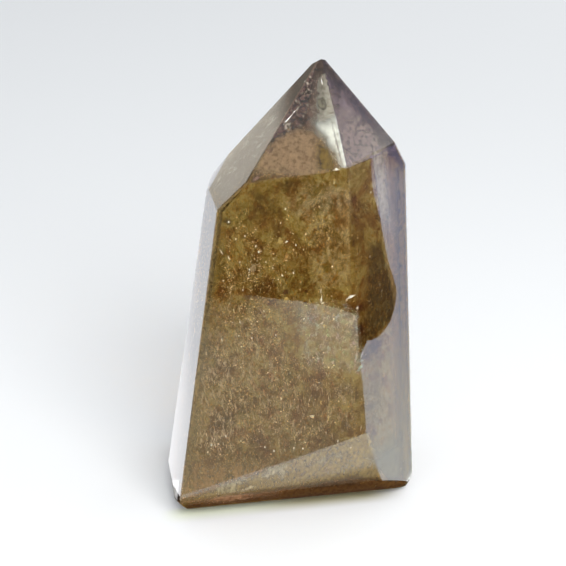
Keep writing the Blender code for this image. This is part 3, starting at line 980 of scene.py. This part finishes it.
m, nt, b, out = material("pale_cloth")
b.inputs["Base Color"].default_value = (0.86, 0.87, 0.88, 1)
b.inputs["Roughness"].default_value = 0.9
b.inputs["Specular IOR Level"].default_value = 0.0
# painted shadow: right in front of the foot the cloth's colour is darkened and given the smoky tint of light that came
# through, for the crystal's contact shadow
sp = nt.nodes.new("ShaderNodeSeparateXYZ")
nt.links.new(nt.nodes.new("ShaderNodeNewGeometry").outputs["Position"], sp.inputs[0])


def between(value, start, end):
    mr = nt.nodes.new("ShaderNodeMapRange")
    mr.interpolation_type = "SMOOTHSTEP"
    mr.inputs["From Min"].default_value = start
    mr.inputs["From Max"].default_value = end
    nt.links.new(value, mr.inputs["Value"])
    return mr.outputs[0]


rise = math_node(nt, "MULTIPLY", math_node(nt, "SUBTRACT", sp.outputs["X"], P(0, 0, 0).x), 0.19)
ahead = math_node(nt, "SUBTRACT", math_node(nt, "ADD", rise, P(0, -2.8, 0).y), sp.outputs["Y"])
# painted shadow mask: a narrow strip of cloth in front of the foot, fading out to the sides
near = math_node(nt, "MULTIPLY", between(ahead, 3.8 * MM, 0.0), between(ahead, -2.0 * MM, -0.5 * MM))
near = math_node(nt, "MULTIPLY", near, between(sp.outputs["X"], P(-22, 0, 0).x, P(-16, 0, 0).x))
near = math_node(nt, "MULTIPLY", near, between(sp.outputs["X"], P(22, 0, 0).x, P(14, 0, 0).x))
foot_shadow_tint = mix_colour(nt, between(sp.outputs["X"], P(-9, 0, 0).x, P(6, 0, 0).x), (0.82, 0.86, 0.68), (0.45, 0.42, 0.26))
nt.links.new(mix_colour(nt, near, (0.86, 0.87, 0.88), foot_shadow_tint), b.inputs["Base Color"])
S = 1.5
floor = plane_object("floor", [(-S, -S, -0.0001), (S, -S, -0.0001), (S, S, -0.0001), (-S, S, -0.0001)], m)


def ramp_along(nt, position, axis, stops):
    """A colour that changes along an axis: stops are (mm, colour)."""
    off = P(0, 0, 0)["XYZ".index(axis)]
    mixed = stops[0][1]
    for (start, _), (end, far) in zip(stops, stops[1:]):
        mr = nt.nodes.new("ShaderNodeMapRange")
        mr.interpolation_type = "SMOOTHSTEP"
        mr.inputs["From Min"].default_value = start * MM + off
        mr.inputs["From Max"].default_value = end * MM + off
        nt.links.new(position.outputs[axis], mr.inputs["Value"])
        mixed = mix_colour(nt, mr.outputs[0], mixed, far)
    return mixed


def emitter(name, colour, strength, ramp=None, left=None):
    """A plain light-giving material. ramp = (axis, stops) makes the colour change along
    an axis; left = (from x, to x, ramp) fades into another ramp towards the left."""
    m = bpy.data.materials.new(name)
    m.use_nodes = True
    nt = m.node_tree
    nt.nodes.clear()
    e = nt.nodes.new("ShaderNodeEmission")
    e.inputs["Color"].default_value = (*colour, 1)
    e.inputs["Strength"].default_value = strength
    o = nt.nodes.new("ShaderNodeOutputMaterial")
    nt.links.new(e.outputs[0], o.inputs["Surface"])
    if ramp:
        sp = nt.nodes.new("ShaderNodeSeparateXYZ")
        nt.links.new(nt.nodes.new("ShaderNodeNewGeometry").outputs["Position"], sp.inputs[0])
        mixed = ramp_along(nt, sp, *ramp)
        if left:
            start, end, other = left
            mr = nt.nodes.new("ShaderNodeMapRange")
            mr.interpolation_type = "SMOOTHSTEP"
            mr.inputs["From Min"].default_value = start * MM + P(0, 0, 0).x
            mr.inputs["From Max"].default_value = end * MM + P(0, 0, 0).x
            nt.links.new(sp.outputs["X"], mr.inputs["Value"])
            mixed = mix_colour(nt, mr.outputs[0], ramp_along(nt, sp, *other), mixed)
        nt.links.new(mixed, e.inputs["Color"])
    return m


def seen_only_by(o, glossy=False, transmission=False):
    o.visible_camera = False
    o.visible_diffuse = False
    o.visible_shadow = False
    o.visible_volume_scatter = False
    o.visible_glossy = glossy
    o.visible_transmission = transmission


# The polished faces mirror the cloth round the crystal. These cards lie on it and
# only show in reflections; x, y in mm in the facets' frame.
EDGE = [(-600, -94), (-60, -92), (3, -90.2), (9, -88.8), (14.2, -86.6), (19.9, -83.3), (23.1, -81.8), (26.9, -79.2),
        (30.6, -76.4), (33.3, -72.8), (52, -46), (82.2, -14.2), (83.8, -13.1), (87, -11.6), (89.7, -10.6), (93.5, -9.6),
        (97.9, -8.8), (103.5, -8.6), (109.3, -8.6), (115.3, -8.8), (124.5, -10.4), (134.2, -12.4), (147.9, -14.5),
        (162.6, -16.6), (186.6, -20.8), (218, -24.3), (600, -60)]
CLOTH = -3.25
# painted shadow in the reflections: the dark card under the foot stands for the shaded cloth there, and the front and
# near ramps dim towards the crystal for its shadow on the cloth
CARDS = [
    # name, outline, z, colour, strength, ramp
    ("card_dark", [(x, y) for x, y in EDGE if x <= 52] + [(52, -64), (600, -64), (600, -900), (-600, -900)], CLOTH + 0.02,
     (0.58, 0.60, 0.62), 1.0, ("Y", [(-260, (0.58, 0.60, 0.62)), (-130, (0.46, 0.42, 0.24)), (-90, (0.30, 0.26, 0.12))])),
    ("card_dark_right", [(x, y) for x, y in EDGE if x >= 52] + [(600, -64), (52, -64)], CLOTH + 0.02,
     (0.10, 0.09, 0.08), 1.0, ("X", [(80, (0.10, 0.09, 0.08)), (130, (0.22, 0.20, 0.18)), (215, (0.50, 0.50, 0.52))])),
    ("card_front", [(x, y) for x, y in EDGE if x <= 52] + [(52, -24), (24, -22), (21, -21), (8, -19.5), (-5, -18), (-15, -16.5), (-24, -16.5), (-600, -16.5)],
     CLOTH, (1.0, 1.0, 0.98), 2.4, ("Y", [(-84, (1.0, 1.05, 0.97)), (-62, (0.86, 0.86, 0.72)), (-42, (0.62, 0.56, 0.40)), (-24, (0.52, 0.48, 0.34))]),
     (8, 24, ("Y", [(-92, (0.14, 0.12, 0.06)), (-62, (0.78, 0.74, 0.56)), (-42, (0.78, 0.71, 0.52)), (-24, (0.80, 0.72, 0.52))]))),
    ("card_near", [(-24, -16.5), (-15, -16.5), (-5, -18), (8, -19.5), (21, -21), (24, -22), (24, -5.5), (-24, -11)], CLOTH, (1.0, 1.0, 0.97), 3.3,
     ("Y", [(-12.6, (1.0, 1.0, 0.97)), (-10.2, (0.45, 0.40, 0.32)), (-7.4, (0.2, 0.16, 0.11))]), (-16, 18, ("Y", [(-15.4, (1.0, 1.0, 0.97)), (-13.4, (0.45, 0.40, 0.32)), (-11.0, (0.2, 0.16, 0.11))]))),
    ("card_under_painted_shadow", [(-24, -11), (24, -5.5), (24, 14), (-21, 14)], CLOTH, (0.06, 0.04, 0.03), 1.0, None),
    ("card_right", [(24, -22), (52, -24)] + [(x, y) for x, y in EDGE if x >= 52] + [(600, 600), (24, 600)], CLOTH,
     (1.0, 1.08, 1.15), 3.9, ("X", [(30, (0.92, 1.0, 1.06)), (130, (0.48, 0.60, 0.90)), (190, (0.44, 0.56, 0.90)), (222, (0.25, 0.25, 0.42))])),
    ("card_left", [(-600, -16.5), (-24, -16.5), (-21, 14), (24, 14), (24, 600), (-600, 600)], CLOTH,
     (1.0, 1.0, 1.02), 2.0, ("X", [(-33, (1.0, 1.0, 1.02)), (-54, (0.86, 0.87, 0.90)), (-80, (0.80, 0.81, 0.84))])),
]
for name, outline, z, colour, strength, ramp, *more in CARDS:
    card = plane_object(name, [P(x, y, z) for x, y in outline], emitter(name, colour, strength, ramp, *more))
    seen_only_by(card, glossy=True)
card = plane_object("card_left_wall", [P(-250, 180, 0), P(-250, 460, 0), P(-250, 460, 220), P(-250, 180, 220)],
                    emitter("card_left_wall", (1.0, 0.92, 0.79), 2.6, ("Z", [(178, (1.0, 0.92, 0.79)), (200, (0.36, 0.31, 0.26))])))
seen_only_by(card, glossy=True)
card = plane_object("card_right_top", [P(250, -120, 255), P(250, 120, 255), P(250, 120, 380), P(250, -120, 380)],
                    emitter("card_right_top", (1.0, 1.0, 1.0), 1.0, ("Z", [(285, (3.2, 3.3, 3.4)), (320, (1.2, 1.2, 1.8)), (350, (0.9, 0.8, 0.9))])))
seen_only_by(card, glossy=True)
card = plane_object("card_room", [P(-2500, 480, -2), P(2500, 480, -2), P(2500, 480, 700), P(-2500, 480, 700)],
                    emitter("card_room", (1.0, 0.97, 0.90), 0.75))
seen_only_by(card, transmission=True)

world = bpy.data.worlds.new("studio")
bpy.context.scene.world = world
world.use_nodes = True
bg = world.node_tree.nodes["Background"]
bg.inputs["Color"].default_value = (0.95, 0.975, 1.0, 1)
bg.inputs["Strength"].default_value = 0.75


def area_light(name, at, to, size, power, colour=(1, 1, 1), glossy=True):
    l = bpy.data.lights.new(name, "AREA")
    l.shape = "SQUARE"
    l.size = size
    l.energy = power
    l.color = colour
    o = bpy.data.objects.new(name, l)
    bpy.context.scene.collection.objects.link(o)
    o.location = at
    d = Vector(to) - Vector(at)
    o.rotation_euler = d.to_track_quat("-Z", "Y").to_euler()
    o.visible_camera = False
    o.visible_glossy = glossy
    return o


area_light("front_soft", (0.10, -0.29, 0.27), (0.04, -0.07, 0.0), 0.24, 1.45, (1.0, 0.99, 0.97), glossy=False)
area_light("back_soft", (0.34, 0.46, 0.26), (0.15, 0.36, 0.0), 0.20, 0.22, (1.0, 1.0, 1.0), glossy=False)

# ------------------------------------------------------------------ camera
AIM = P(0, 0, 38)
ELEV, DIST = math.radians(25.0), 0.26
cam_data = bpy.data.cameras.new("camera")
cam_data.sensor_width = 36.0
cam_data.lens = 36.0 * 1560.0 / 566.0
cam_data.clip_start = 0.01
cam = bpy.data.objects.new("camera", cam_data)
bpy.context.scene.collection.objects.link(cam)
cam.location = AIM + Vector((0, -math.cos(ELEV), math.sin(ELEV))) * DIST
cam.rotation_euler = (AIM - cam.location).to_track_quat("-Z", "Y").to_euler()
bpy.context.scene.camera = cam

sc = bpy.context.scene
sc.view_settings.view_transform = "Standard"
sc.cycles.transparent_max_bounces = 32
sc.cycles.max_bounces = 32
sc.cycles.transmission_bounces = 32
sc.cycles.glossy_bounces = 16
sc.cycles.blur_glossy = 0.0
